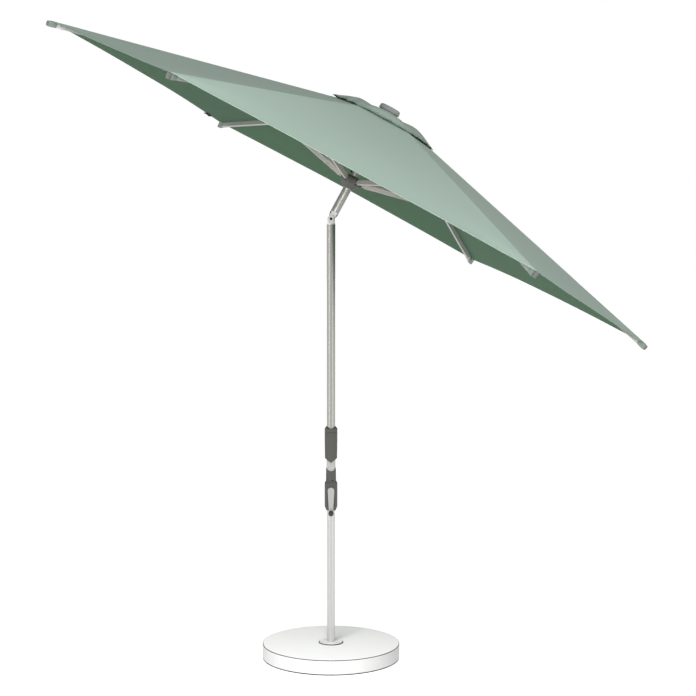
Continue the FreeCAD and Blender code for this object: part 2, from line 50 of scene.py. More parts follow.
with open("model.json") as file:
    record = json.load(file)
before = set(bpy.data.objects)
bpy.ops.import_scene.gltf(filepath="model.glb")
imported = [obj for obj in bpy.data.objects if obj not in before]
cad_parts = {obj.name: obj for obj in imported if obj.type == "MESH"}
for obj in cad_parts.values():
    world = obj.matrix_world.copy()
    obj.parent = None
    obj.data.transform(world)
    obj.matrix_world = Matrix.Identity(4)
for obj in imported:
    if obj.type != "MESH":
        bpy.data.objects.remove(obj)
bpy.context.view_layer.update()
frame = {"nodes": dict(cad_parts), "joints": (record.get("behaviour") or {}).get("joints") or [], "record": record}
JOINTS = {joint["name"]: joint for joint in frame["joints"]}
RECORD_COLOURS = {slot["slot"]: tuple(slot["base_color"]) for slot in frame["record"]["materials"]}
NODE_SLOTS = {part["node"]: part["material_slot"] for part in frame["record"]["subparts"]}

MM = 0.001
RIBS = 6
HALF_GORE = math.pi / RIBS


def head_matrix():
    """From the head's upright layout to its tilted place on the pole."""
    up = -Vector(JOINTS["runner_slide"]["axis"]).normalized()
    side = Vector((0, 1, 0))
    turn = Matrix((side.cross(up), side, up)).transposed().to_4x4()
    return Matrix.Translation(JOINTS["tilt"]["pos_m"]) @ turn


HEAD = head_matrix()
LEAN = math.asin(-JOINTS["runner_slide"]["axis"][0])
HINGE = HEAD.inverted() @ Vector(JOINTS["rib_hinge_1"]["pos_m"])
RIB_SLOPE = math.radians(13.45)
RIB_TIP = 1.494
RIB_HALF_W = 0.007
RIB_HALF_H = 0.011
VENT_HOLE_R = 0.160
RIM_R = 1.487


def record_colour(slot, name, description):
    """A colour property whose default is the record's colour for a material slot."""
    return FloatVectorProperty(
        name=name, description=description, default=RECORD_COLOURS[slot], subtype="COLOR", min=0.0, max=1.0)


class ParasolCloth(bpy.types.PropertyGroup):
    """Cut and set of the canopy's cloth."""

    thickness: FloatProperty(
        name="Thickness", description="Thickness of one layer of cloth", default=0.9 * MM, unit="LENGTH")
    rest: FloatProperty(
        name="Rest height", description="Height of the cloth's underside above a rib's centreline",
        default=13.5 * MM, unit="LENGTH")
    rim_hollow: FloatProperty(
        name="Rim hollow", description="How far each rim edge curves in at its middle", default=92 * MM,
        unit="LENGTH")
    sag: FloatProperty(
        name="Sag", description="How deep each gore hangs between its ribs", default=19 * MM, unit="LENGTH")
    hem: FloatProperty(name="Hem width", description="Width of the rim's hem", default=24 * MM, unit="LENGTH")
    seam: FloatProperty(
        name="Seam half width", description="Half the width of the seam along a rib", default=6 * MM,
        unit="LENGTH")
    fold: FloatProperty(
        name="Corner folds", description="Height of the small folds that fan out of each rib tip",
        default=2.2 * MM, unit="LENGTH")
    keep: FloatProperty(
        name="Width kept", description="Share of a wedge's width that is left when the ribs have folded",
        default=0.9755, min=0.5, max=1.0)


class ParasolVent(bpy.types.PropertyGroup):
    """Cut and set of the vent cap."""

    corner_r: FloatProperty(
        name="Corner radius", description="Distance of the cap's corners from the pole", default=270 * MM,
        unit="LENGTH")
    neck_r: FloatProperty(
        name="Neck radius", description="Radius of the hole round the finial's neck", default=24 * MM,
        unit="LENGTH")
    top: FloatProperty(
        name="Top", description="Height of the cap's neck above the pivot", default=523 * MM, unit="LENGTH")
    drop: FloatProperty(
        name="Drop", description="Height from the cap's neck down to its corners", default=46 * MM,
        unit="LENGTH")
    billow: FloatProperty(
        name="Billow", description="How far each panel swells", default=17 * MM, unit="LENGTH")
    thickness: FloatProperty(
        name="Thickness", description="Thickness of the cap's cloth", default=1.0 * MM, unit="LENGTH")


class ParasolColours(bpy.types.PropertyGroup):
    """Colours of the cloth, plastics and metals."""

    canopy_fabric: record_colour("canopy_fabric", "Canopy", "Outer face of the canopy's cloth")
    # Painted shade: the underside is the canopy's own cloth, drawn in a darker green so that it reads as shaded.
    lining: FloatVectorProperty(
        name="Underside", description="Inner face of the canopy's cloth", default=(0.12, 0.235, 0.14),
        subtype="COLOR", min=0.0, max=1.0)
    piping: FloatVectorProperty(
        name="Corner pockets", description="Pockets that hold the rib tips", default=(0.44, 0.54, 0.47),
        subtype="COLOR", min=0.0, max=1.0)
    dark_plastic: record_colour("dark_plastic", "Housings", "Crank housing, tilt collar, hub and runner")
    cap_grey: record_colour("cap_grey", "Finial", "Finial cap and rib caps")
    pole_tube: record_colour("pole_tube", "Main pole", "Main and upper pole")
    lower_tube: record_colour("lower_tube", "Lower pole", "Lower pole")
    rib_tube: record_colour("rib_tube", "Ribs", "Rib tubes")
    strut_tube: record_colour("strut_tube", "Struts", "Strut tubes")
    slab: record_colour("slab", "Base", "Base slab")


class ParasolStudio(bpy.types.PropertyGroup):
    """Camera and lights."""

    distance: FloatProperty(
        name="Distance", description="From the pole to the camera", default=6.942, unit="LENGTH")
    height: FloatProperty(
        name="Height", description="Camera's height over the floor", default=1.889, unit="LENGTH")
    dip: FloatProperty(
        name="Dip", description="How far the camera looks down", default=math.radians(3.71), subtype="ANGLE")
    lens: FloatProperty(
        name="Lens", description="Focal length on a 36 mm sensor", default=81.5, unit="CAMERA")
    shift: FloatVectorProperty(
        name="Shift", description="Camera shift across and up, as a share of the picture", size=2,
        default=(0.0244, -0.0178))
    key_power: FloatProperty(
        name="Key light", description="Power of the large light in front", default=60.0, unit="POWER")
    strip_power: FloatProperty(
        name="Strip lights", description="Power of each upright light at the sides", default=24.0,
        unit="POWER")
    cloth_power: FloatProperty(
        name="Cloth light", description="Power of the low front light on the cloth", default=640.0,
        unit="POWER")
    metal_power: FloatProperty(
        name="Metal light", description="Power of the low front light on the head's metal", default=200.0,
        unit="POWER")
    slab_power: FloatProperty(
        name="Base light", description="Power of the light over the base", default=190.0, unit="POWER")
    ceiling: FloatProperty(
        name="Ceiling", description="Brightness of the studio above the backdrop", default=0.13, min=0.0)
    below: FloatProperty(
        name="Ground glow", description="Brightness that reaches the object from below", default=0.34,
        min=0.0)
    horizon: FloatProperty(
        name="Horizon", description="Brightness that reaches the object from the sides", default=0.8,
        min=0.0)


# ---------------------------------------------------------------- shader maths

class Sock:
    """A number in a shader. Sums, products and comparisons of it add the Math nodes they need."""

    def __init__(self, nodes, socket):
        self.nodes = nodes
        self.socket = socket

    def maths(self, operation, first, second=None, clamp=False):
        values = {0: first} if second is None else {0: first, 1: second}
        return self.nodes.node("ShaderNodeMath", {"operation": operation, "use_clamp": clamp}, values)

    def __add__(self, other):
        return self.maths("ADD", self, other)

    def __radd__(self, other):
        return self.maths("ADD", other, self)

    def __sub__(self, other):
        return self.maths("SUBTRACT", self, other)

    def __rsub__(self, other):
        return self.maths("SUBTRACT", other, self)

    def __mul__(self, other):
        return self.maths("MULTIPLY", self, other)

    def __rmul__(self, other):
        return self.maths("MULTIPLY", other, self)

    def __lt__(self, other):
        return self.maths("LESS_THAN", self, other)

    def __gt__(self, other):
        return self.maths("GREATER_THAN", self, other)

    def __abs__(self):
        return self.maths("ABSOLUTE", self)

    def wave(self, period):
        """From 0 to 1 and back once per period."""
        return self.maths("SINE", self * (2 * math.pi / period)) * 0.5 + 0.5

    def clamped(self):
        return self.maths("ADD", self, 0.0, clamp=True)


class Nodes:
    """A node tree with one method that adds any node."""

    def __init__(self, tree):
        self.tree = tree

    def feed(self, socket, value):
        if isinstance(value, Sock):
            self.tree.links.new(value.socket, socket)
        else:
            socket.default_value = value

    def node(self, kind, settings=None, values=None, out=0):
        """Adds a node: its settings first, then a value or a link for each socket named."""
        made = self.tree.nodes.new(kind)
        for key, value in (settings or {}).items():
            if key == "stops":
                for point, (position, colour) in zip(made.color_ramp.elements, value):
                    point.position, point.color = position, colour
            else:
                setattr(made, key, value)
        for key, value in (values or {}).items():
            self.feed(made.inputs[key], value)
        return Sock(self, made.outputs[out])

    def mix(self, share, first, second):
        """A blend of two colours."""
        return self.node("ShaderNodeMix", {"data_type": "RGBA"}, {0: share, 6: first, 7: second}, out=2)

    def scale(self, value, low, high, to_low=0.0, to_high=1.0):
        """A number carried from one span to another and held at its ends."""
        spans = {"From Min": low, "From Max": high, "To Min": to_low, "To Max": to_high}
        return self.node("ShaderNodeMapRange", {"clamp": True}, {"Value": value, **spans})


class Finish(Nodes):
    """A material on one Principled shader. The constants go straight onto the shader's sockets."""

    def __init__(self, name, constants):
        self.material = bpy.data.materials.new(name)
        self.material.use_nodes = True
        super().__init__(self.material.node_tree)
        self.shader = self.tree.nodes["Principled BSDF"]
        for socket, value in constants.items():
            self.shader.inputs[socket].default_value = value
        self.place = self.node("ShaderNodeTexCoord", out="Object")

    def stored(self, name):
        """A number kept on the mesh's points."""
        return self.node("ShaderNodeAttribute", {"attribute_name": name}, out="Fac")

    def noise(self, scale, detail=2.0, roughness=0.5, at=None):
        values = {"Vector": at or self.place, "Scale": scale, "Detail": detail, "Roughness": roughness}
        return self.node("ShaderNodeTexNoise", None, values)

    def stretched(self, factors, lean=0.0):
        """The point on the object, leaned back about Y and then scaled along each axis."""
        turned = self.node(
            "ShaderNodeVectorRotate", {"rotation_type": "Y_AXIS"}, {"Vector": self.place, "Angle": lean})
        return self.node("ShaderNodeVectorMath", {"operation": "MULTIPLY"}, {0: turned, 1: factors})

    def colour(self, value):
        self.feed(self.shader.inputs["Base Color"], value)

    def rough(self, value):
        self.feed(self.shader.inputs["Roughness"], value)

    def relief(self, height, depth):
        """Bumps of the given depth in metres where height goes from 0 to 1."""
        bump = self.node("ShaderNodeBump", None, {"Height": height, "Strength": 1.0, "Distance": depth})
        self.feed(self.shader.inputs["Normal"], bump)


def tone(colour, factor):
    """A lighter or darker shade of a colour, with its alpha."""
    return tuple(min(1.0, part * factor) for part in colour[:3]) + (1.0,)


# ---------------------------------------------------------------- finishes

def woven_cloth(name, colour, binding=0.0):
    """Plain-weave polyester with felled seams, stitch rows and a hem, placed by distances on the mesh.

    With a width given, it is the vent cap's cloth, drawn darker all over, and its edge of that width
    is painted nearly black as the shadow in the gap under the cap's hem.
    """
    thread, stitch = 1.3 * MM, 4.2 * MM
    seam_row, hem_row, row_half = 4.6 * MM, 19 * MM, 0.6 * MM
    seam_puckers, hem_puckers = 27 * MM, 33 * MM
    cloth = Finish(name, {"Sheen Weight": 0.03, "Sheen Roughness": 0.5, "Specular IOR Level": 0.08})
    warp, weft, seam, rim = (cloth.stored(key) for key in ("warp", "weft", "seam", "rim"))
    weave = warp.wave(thread) * weft.wave(thread)
    slub = cloth.noise(60.0, 5.0, 0.6)
    dashes = (warp + weft).wave(stitch) > 0.3
    rows = (abs(seam - seam_row) < row_half) + (abs(rim - hem_row) < row_half)
    stitches = rows.clamped() * dashes
    pucker = cloth.scale(seam, 6 * MM, 50 * MM, 1.0, 0.0) * weft.wave(seam_puckers)
    hem_pucker = cloth.scale(rim, 20 * MM, 60 * MM, 1.0, 0.0) * warp.wave(hem_puckers)
    if binding:
        # Painted shadow: the cloth is drawn darker all over, and its edge nearly black for the gap under the cap's
        # hem.
        shade = cloth.mix((rim < binding) * 0.9, tone(colour, 0.74), tone(colour, 0.25))
        shade = cloth.mix(slub * 0.5, shade, tone(colour, 0.55))
    else:
        cloud = cloth.noise(2.2, 3.0)
        shade = cloth.mix(cloud, tone(colour, 0.96), tone(colour, 1.05))
        shade = cloth.mix(slub * 0.4, shade, tone(colour, 0.9))
        shade = cloth.mix(weave * 0.15, shade, tone(colour, 1.15))
        shade = cloth.mix(stitches * 0.55, shade, tone(colour, 1.3))
    cloth.colour(shade)
    cloth.rough(cloth.scale(slub, 0.3, 0.7, 0.80, 0.92))
    cloth.relief(weave * 0.12 + slub * 0.2 + pucker * 0.3 + hem_pucker * 0.3 + stitches * 0.2, 1.0 * MM)
    return cloth.material


def plain_cloth(name, colour):
    """Woven cloth for small sewn pieces, which keep no distances of their own."""
    cloth = Finish(name, {"Sheen Weight": 0.15, "Sheen Roughness": 0.5, "Specular IOR Level": 0.25})
    weave = cloth.noise(900.0, 2.0)
    wear = cloth.noise(45.0, 4.0, 0.6)
    cloth.colour(cloth.mix(wear, tone(colour, 0.88), tone(colour, 1.08)))
    cloth.rough(cloth.scale(wear, 0.3, 0.7, 0.76, 0.9))
    cloth.relief(weave, 0.15 * MM)
    return cloth.material


def anodised_tube(name, colour, lean=0.0):
    """Satin anodised aluminium: fine drawn lines along the tube and faint handling marks."""
    tube = Finish(name, {"Metallic": 0.7, "Specular IOR Level": 0.5})
    drawn = tube.noise(1100.0, 2.0, at=tube.stretched((1.0, 1.0, 0.004), lean))
    marks = tube.noise(9.0, 5.0, 0.65)
    shade = tube.mix(drawn, tone(colour, 0.93), tone(colour, 1.07))
    tube.colour(tube.mix(tube.scale(marks, 0.55, 0.8, 0.0, 0.5), shade, tone(colour, 0.85)))
    tube.rough(tube.scale(marks, 0.3, 0.75, 0.3, 0.46))
    tube.relief(drawn, 0.03 * MM)
    return tube.material


def powder_coat(name, colour):
    """Satin powder coat: orange-peel relief, with a little soiling."""
    coat = Finish(name, {"Coat Weight": 0.12, "Coat Roughness": 0.3})
    peel = coat.noise(420.0, 2.0)
    soil = coat.noise(20.0, 6.0, 0.7)
    coat.colour(coat.mix(coat.scale(soil, 0.5, 0.8, 0.0, 0.6), tone(colour, 1.0), tone(colour, 0.84)))
    coat.rough(coat.scale(soil, 0.35, 0.7, 0.38, 0.54))
    coat.relief(peel, 0.05 * MM)
    return coat.material


def moulded_plastic(name, colour):
    """Spark-eroded moulding grain, a little polished where hands rub it."""
    plastic = Finish(name, {"Specular IOR Level": 0.45})
    grain = plastic.noise(1500.0, 3.0, 0.6)
    wear = plastic.noise(16.0, 5.0, 0.6)
    shade = plastic.mix(grain, tone(colour, 0.92), tone(colour, 1.08))
    plastic.colour(plastic.mix(plastic.scale(wear, 0.55, 0.8, 0.0, 0.5), shade, tone(colour, 1.2)))
    plastic.rough(plastic.scale(wear, 0.4, 0.75, 0.5, 0.34))
    plastic.relief(grain, 0.05 * MM)
    return plastic.material


def cast_metal(name, colour):
    """Tumbled casting with a soft pebbled skin."""
    cast = Finish(name, {"Metallic": 0.12, "Specular IOR Level": 0.6})
    pebble = cast.noise(260.0, 4.0)
    cast.colour(cast.mix(pebble, tone(colour, 0.92), tone(colour, 1.05)))
    cast.rough(cast.scale(pebble, 0.3, 0.7, 0.26, 0.42))
    cast.relief(pebble, 0.1 * MM)
    return cast.material


def plated_steel(name, colour):
    """Plated steel with the faint mottling of zinc."""
    steel = Finish(name, {"Metallic": 0.95})
    mottle = steel.noise(310.0, 5.0, 0.7)
    steel.colour(steel.mix(mottle, tone(colour, 0.8), tone(colour, 1.12)))
    steel.rough(steel.scale(mottle, 0.3, 0.7, 0.22, 0.42))
    steel.relief(mottle, 0.02 * MM)
    return steel.material


def rubber_skin(name, colour):
    """Matt rubber with a dusty bloom."""
    rubber = Finish(name, {"Specular IOR Level": 0.3})
    bloom = rubber.noise(55.0, 5.0, 0.65)
    rubber.colour(rubber.mix(rubber.scale(bloom, 0.45, 0.8), tone(colour, 1.0), tone(colour, 2.2)))
    rubber.rough(rubber.scale(bloom, 0.3, 0.7, 0.72, 0.92))
    rubber.relief(rubber.noise(800.0, 2.0), 0.08 * MM)
    return rubber.material


def painted_concrete(name, colour):
    """White masonry paint on cast concrete: rolled stipple, a few air holes and faint soiling."""
    slab = Finish(name, {"Specular IOR Level": 0.35})
    stipple = slab.noise(260.0, 3.0)
    cells = slab.node("ShaderNodeTexVoronoi", None, {"Vector": slab.place, "Scale": 46.0})
    hole = slab.scale(cells, 0.05, 0.11, 1.0, 0.0)
    soil = slab.noise(5.0, 6.0, 0.7)
    shade = slab.mix(slab.scale(soil, 0.5, 0.85, 0.0, 0.5), tone(colour, 1.0), tone(colour, 0.94))
    slab.colour(slab.mix(hole * 0.4, shade, tone(colour, 0.8)))
    slab.rough(slab.scale(soil, 0.3, 0.7, 0.55, 0.72))
    slab.relief(stipple * 0.4 - hole, 0.4 * MM)
    return slab.material


def ribbed_webbing(name, colour):
    """Ribbed narrow webbing or braid."""
    tape = Finish(name, {"Sheen Weight": 0.3, "Sheen Roughness": 0.5})
    ribs = tape.node("ShaderNodeSeparateXYZ", None, {0: tape.place}, out="Z").wave(1.6 * MM)
    fuzz = tape.noise(700.0, 3.0)
    tape.colour(tape.mix(fuzz, tone(colour, 0.7), tone(colour, 1.6)))
    tape.rough(tape.scale(fuzz, 0.3, 0.7, 0.72, 0.9))
    tape.relief(ribs * 0.7 + fuzz * 0.3, 0.35 * MM)
    return tape.material


MAKERS = {
    "slab": painted_concrete, "black_rubber": rubber_skin, "white_steel": powder_coat,
    "lower_tube": anodised_tube, "pole_tube": anodised_tube, "dark_plastic": moulded_plastic,
    "black_plastic": moulded_plastic, "knob_plastic": moulded_plastic, "cap_grey": moulded_plastic,
    "white_plastic": moulded_plastic, "cast_alloy": cast_metal, "silver_alloy": cast_metal,
    "black_steel": plated_steel, "steel": plated_steel, "arm_grey": powder_coat, "rib_tube": powder_coat,
    "strut_tube": powder_coat, "cord": ribbed_webbing, "strap_webbing": ribbed_webbing,
    "canopy_fabric": woven_cloth, "lining": woven_cloth, "piping": plain_cloth,
}


def finish(key, **details):
    """The material of a slot, made once, in the colour of the panel or else of the record."""
    name = "_".join([key, *details])
    if name not in bpy.data.materials:
        colour = getattr(bpy.context.scene.parasol_colours, key, None) or RECORD_COLOURS[key]
        MAKERS[key](name, tuple(colour), **details)
    return bpy.data.materials[name]


# ---------------------------------------------------------------- meshes

def add_object(name, mesh, materials, body):
    """Links a mesh in place, on the body that it rides on."""
    made = bpy.data.objects.new(name, mesh)
    bpy.context.scene.collection.objects.link(made)
    for material in materials:
        mesh.materials.append(material)
    mesh.shade_smooth()
    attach(made, body)
    return made


def to_row(points, place=HEAD):
    """Points of a layout, as an array, in the row's frame."""
    matrix = np.array(place)
    return np.asarray(points) @ matrix[:3, :3].T + matrix[:3, 3]


def grid_normals(points):
    """Unit normals of a grid whose rows run outwards and whose columns run anticlockwise."""
    normals = np.cross(np.gradient(points, axis=0), np.gradient(points, axis=1))
    return normals / np.linalg.norm(normals, axis=2, keepdims=True)


def shell_mesh(name, top, bottom, ring=False, stored=None, normals=None):
    """A closed shell between two grids of points. Its lower faces take the second material."""
    rows, columns = top.shape[:2]
    count = rows * columns
    points = np.concatenate([top.reshape(-1, 3), bottom.reshape(-1, 3)])
    spans = columns if ring else columns - 1

    def at(row, column, layer):
        return layer * count + row * columns + column % columns

    upper = [(at(i, j, 0), at(i + 1, j, 0), at(i + 1, j + 1, 0), at(i, j + 1, 0))
             for i in range(rows - 1) for j in range(spans)]
    lower = [tuple(vertex + count for vertex in reversed(face)) for face in upper]
    walls = [(at(0, j, 0), at(0, j + 1, 0), at(0, j + 1, 1), at(0, j, 1)) for j in range(spans)]
    walls += [(at(rows - 1, j + 1, 0), at(rows - 1, j, 0), at(rows - 1, j, 1), at(rows - 1, j + 1, 1))
              for j in range(spans)]
    if not ring:
        walls += [(at(i + 1, 0, 0), at(i, 0, 0), at(i, 0, 1), at(i + 1, 0, 1)) for i in range(rows - 1)]
        walls += [(at(i, spans, 0), at(i + 1, spans, 0), at(i + 1, spans, 1), at(i, spans, 1))
                  for i in range(rows - 1)]
    mesh = bpy.data.meshes.new(name)
    mesh.from_pydata(points.tolist(), [], upper + lower + walls)
    under = [0] * len(upper) + [1] * len(lower) + [0] * len(walls)
    mesh.polygons.foreach_set("material_index", under)
    for key, values in (stored or {}).items():
        layer = mesh.attributes.new(key, "FLOAT", "POINT")
        layer.data.foreach_set("value", np.tile(values.ravel(), 2).astype(np.float32))
    if normals is not None:
        mesh.shade_smooth()
        flat = normals.reshape(-1, 3)
        both = np.concatenate([flat, -flat])
        corners = both[np.array(upper + lower).ravel()]
        auto = np.zeros((4 * len(walls), 3))
        mesh.normals_split_custom_set(np.concatenate([corners, auto]).tolist())
    return mesh


def loft_mesh(name, rings):
    """A closed solid through rings of points, all of one length, with its ends filled."""
    size = len(rings[0])
    points = [tuple(point) for ring in rings for point in ring]
    faces = [tuple(range(size))[::-1], tuple(range(len(points) - size, len(points)))]
    for start in range(0, len(points) - size, size):
        for j in range(size):
            right = (j + 1) % size
            faces.append((start + j, start + right, start + size + right, start + size + j))
    mesh = bpy.data.meshes.new(name)
    mesh.from_pydata(points, [], faces)
    tidy = bmesh.new()
    tidy.from_mesh(mesh)
    bmesh.ops.recalc_face_normals(tidy, faces=tidy.faces)
    tidy.to_mesh(mesh)
    tidy.free()
    return mesh


def rounded_ring(x, width, height, radius, steps=5):
    """A rounded rectangle across the X axis, as points."""
    ring = []
    for quarter in range(4):
        middle = math.pi / 2 * quarter
        side_y = (1, -1, -1, 1)[quarter]
        side_z = (1, 1, -1, -1)[quarter]
        for step in range(steps):
            angle = middle + math.pi / 2 * step / (steps - 1)
            ring.append((x, side_y * (width / 2 - radius) + radius * math.cos(angle),
                         side_z * (height / 2 - radius) + radius * math.sin(angle)))
    return ring


def soften(made, width, angle=math.radians(30), segments=2):
    """Rounds an object's sharp edges."""
    weld = made.modifiers.new("Weld", "WELD")
    weld.merge_threshold = 0.02 * MM
    bevel = made.modifiers.new("Rounded edges", "BEVEL")
    bevel.width = width
    bevel.segments = segments
    bevel.limit_method = "ANGLE"
    bevel.angle_limit = angle
    bevel.harden_normals = True


def light_with(group, *pieces):
    """Puts pieces in the group that one of the studio's lights is meant for."""
    for piece in pieces:
        bpy.data.collections[group].objects.link(piece)


def rib_turn(rib):
    """The angle of a rib round the pole. Rib 1 lies along +X."""
    return 2 * HALF_GORE * (rib - 1)


def rib_place(rib):
    """From a rib's layout, with its hinge at the origin and its tube along +X, to the row's frame."""
    spin = Matrix.Rotation(rib_turn(rib), 4, "Z")
    return HEAD @ spin @ Matrix.Translation((HINGE.x, 0, HINGE.z)) @ Matrix.Rotation(RIB_SLOPE, 4, "Y")


# ---------------------------------------------------------------- canopy

GORE_FALL = math.atan(math.tan(RIB_SLOPE) / math.cos(HALF_GORE))
MID_TO_FALL = math.cos(HALF_GORE) / math.cos(GORE_FALL)
SEAM_TURN = math.atan(math.tan(HALF_GORE) * math.cos(GORE_FALL))
SEAM_TO_SIDE = 1 / math.cos(SEAM_TURN)
FIELD_ROWS = 92
FIELD_COLUMNS = 24
SEAM_END = 1.08
SEAM_STEP = 0.16


def cloth_peak(cloth):
    """The height over the pivot at which the gores' flat planes would meet on the pole's axis."""
    return HINGE.z + cloth.rest / math.cos(RIB_SLOPE) + HINGE.x * math.tan(RIB_SLOPE)


def row_shares(cloth):
    """Where the cloth's rows lie along a rib, from 0 at the vent hole to 1 at the rim."""
    length = (RIM_R - VENT_HOLE_R) * MID_TO_FALL
    hem_rows = np.array([0, 1.2 * MM, 3.5 * MM, cloth.hem - 2 * MM, cloth.hem, cloth.hem + 1 * MM])
    field_rows = np.linspace(cloth.hem + 12 * MM, length, FIELD_ROWS)
    return 1 - np.concatenate([hem_rows, field_rows])[::-1] / length


def side_offsets(cloth, half_widths):
    """Distances of the columns from the seam at each row; the last lies just past the gore's middle."""
    seam_widths = np.array([0, 0.45, 0.92, SEAM_END, 1.9, 3.2])
    near = seam_widths * cloth.seam * SEAM_TO_SIDE
    shares = np.linspace(0, 1, FIELD_COLUMNS)[1:]
    first = near[-1]
    field = first + shares[None, :] * (half_widths[:, None] - first)
    beyond = half_widths[:, None] + (half_widths[:, None] - field[:, -2:-1])
    return np.concatenate([np.broadcast_to(near, (len(half_widths), len(near))), field, beyond], axis=1)


def corner_folds(cloth, gore, down, across, half_rim, rim_down):
    """Small folds that fan out of the rib tips, and a slow drift that differs from gore to gore."""
    reach, first_rise, fan_rate, drift_share = 0.26, 0.14, 6.5, 0.35
    back, side = rim_down - down, half_rim - np.abs(across)
    distance = np.hypot(back, side)
    turn = np.arctan2(side, back) - SEAM_TURN
    fan = np.sin(fan_rate * turn) * np.exp(-distance / reach) * np.minimum(distance / first_rise, 1)
    waves = np.sin(across * 9 + 2.1 * gore) * np.sin(down * 7 + gore)
    drift = drift_share * waves * (1 - (across / half_rim) ** 2)
    return cloth.fold * (fan + drift)


def gore_side(cloth, rib, side):
    """Half a gore on one side of a rib: its upper and lower points, and the distances kept on them."""
    rows = row_shares(cloth)
    ridge_r = VENT_HOLE_R + (RIM_R - VENT_HOLE_R) * rows
    half = ridge_r * math.sin(HALF_GORE)
    offset = side_offsets(cloth, half)
    across = half[:, None] - offset
    share = across / half[:, None]
    hollow = cloth.rim_hollow * np.sin(math.pi / 2 * rows) ** 2
    down = ridge_r[:, None] * MID_TO_FALL - hollow[:, None] * (1 - share ** 2)

    seam = offset / SEAM_TO_SIDE
    rim = np.broadcast_to(((1 - rows) * (RIM_R - VENT_HOLE_R) * MID_TO_FALL)[:, None], seam.shape)
    gore = rib if side > 0 else (rib - 2) % RIBS + 1
    hang = cloth.sag * rows[:, None] ** 1.4 * (1 - share ** 2)
    folds = corner_folds(cloth, gore, down, -side * across, RIM_R * math.sin(HALF_GORE), RIM_R * MID_TO_FALL)
    middle = folds * np.minimum(seam / (3 * cloth.seam), 1) - hang

    seam_layers, hem_layers, layers_under = 0.7, 0.6, 0.3
    crown_drop, edge_roll, roll_share = 1.5 * MM, 1.2 * MM, 0.42
    in_seam = np.clip((SEAM_END * cloth.seam - seam) / (SEAM_STEP * cloth.seam), 0, 1)
    in_hem = np.clip((cloth.hem + 1 * MM - rim) / (1 * MM), 0, 1)
    crown = crown_drop * np.clip(1 - seam / (2 * cloth.seam), 0, 1) ** 2
    over = cloth.thickness * (1 + seam_layers * in_seam + hem_layers * in_hem) - crown
    under = -layers_under * cloth.thickness * np.maximum(in_seam, in_hem) - crown
    rolled = np.clip(1 - rim / edge_roll, 0, 1) * roll_share * (over - under)

    azimuth = rib_turn(rib) + side * HALF_GORE
    out = np.array([math.cos(azimuth), math.sin(azimuth), 0])
    along = np.array([-math.sin(azimuth), math.cos(azimuth), 0])
    up = np.array([0, 0, 1])
    slope, rise = math.sin(GORE_FALL), math.cos(GORE_FALL)
    peak = cloth_peak(cloth)

    def placed(lift):
        return (peak * up + down[..., None] * (rise * out - slope * up)
                - (side * across)[..., None] * along + lift[..., None] * (slope * out + rise * up))

    stored = {"seam": seam, "rim": rim, "warp": -side * across, "weft": down}
    return placed(middle + over - rolled), placed(middle + under + rolled), stored


def both_sides(first, second):
    """One grid from the two sides of a seam, without the columns past the gores' middles."""
    return np.concatenate([first[:, -2:0:-1], second[:, :-1]], axis=1)


def narrow_with_cloth(piece):
    """Gives a piece a mesh of its own. It does not draw the piece in as the ribs fold."""
    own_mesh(piece)


def canopy_wedge(cloth, rib):
    """The cloth over one rib, from the middle of one gore to the middle of the next."""
    left_top, left_bottom, left_stored = gore_side(cloth, rib, -1)
    right_top, right_bottom, right_stored = gore_side(cloth, rib, 1)
    top = to_row(both_sides(left_top, right_top))
    bottom = to_row(both_sides(left_bottom, right_bottom))
    full = to_row(np.concatenate([left_top[:, :0:-1], right_top], axis=1))
    stored = {key: both_sides(left_stored[key], right_stored[key]) for key in left_stored}
    name = "canopy_wedge_%d" % rib
    mesh = shell_mesh(name, top, bottom, stored=stored, normals=grid_normals(full)[:, 1:-1])
    # The lower faces take the underside finish, whose darker colour is painted shade on the same cloth.
    faces = [finish("canopy_fabric"), finish("lining")]
    wedge = add_object(name, mesh, faces, "rib_%d" % rib)
    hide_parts("gore_%d" % rib)
    light_with("cloth_lit", wedge)
    narrow_with_cloth(wedge)
    return wedge


# ---------------------------------------------------------------- vent cap

VENT_ROWS = 34
VENT_STEPS = 24
VENT_HEM = 13.2 * MM
VENT_HEM_STEP = 0.8 * MM


def hump(value, middle, spread):
    """A smooth rise to 1 at the middle, which dies away on both sides."""
    return np.exp(-((value - middle) / spread) ** 2)


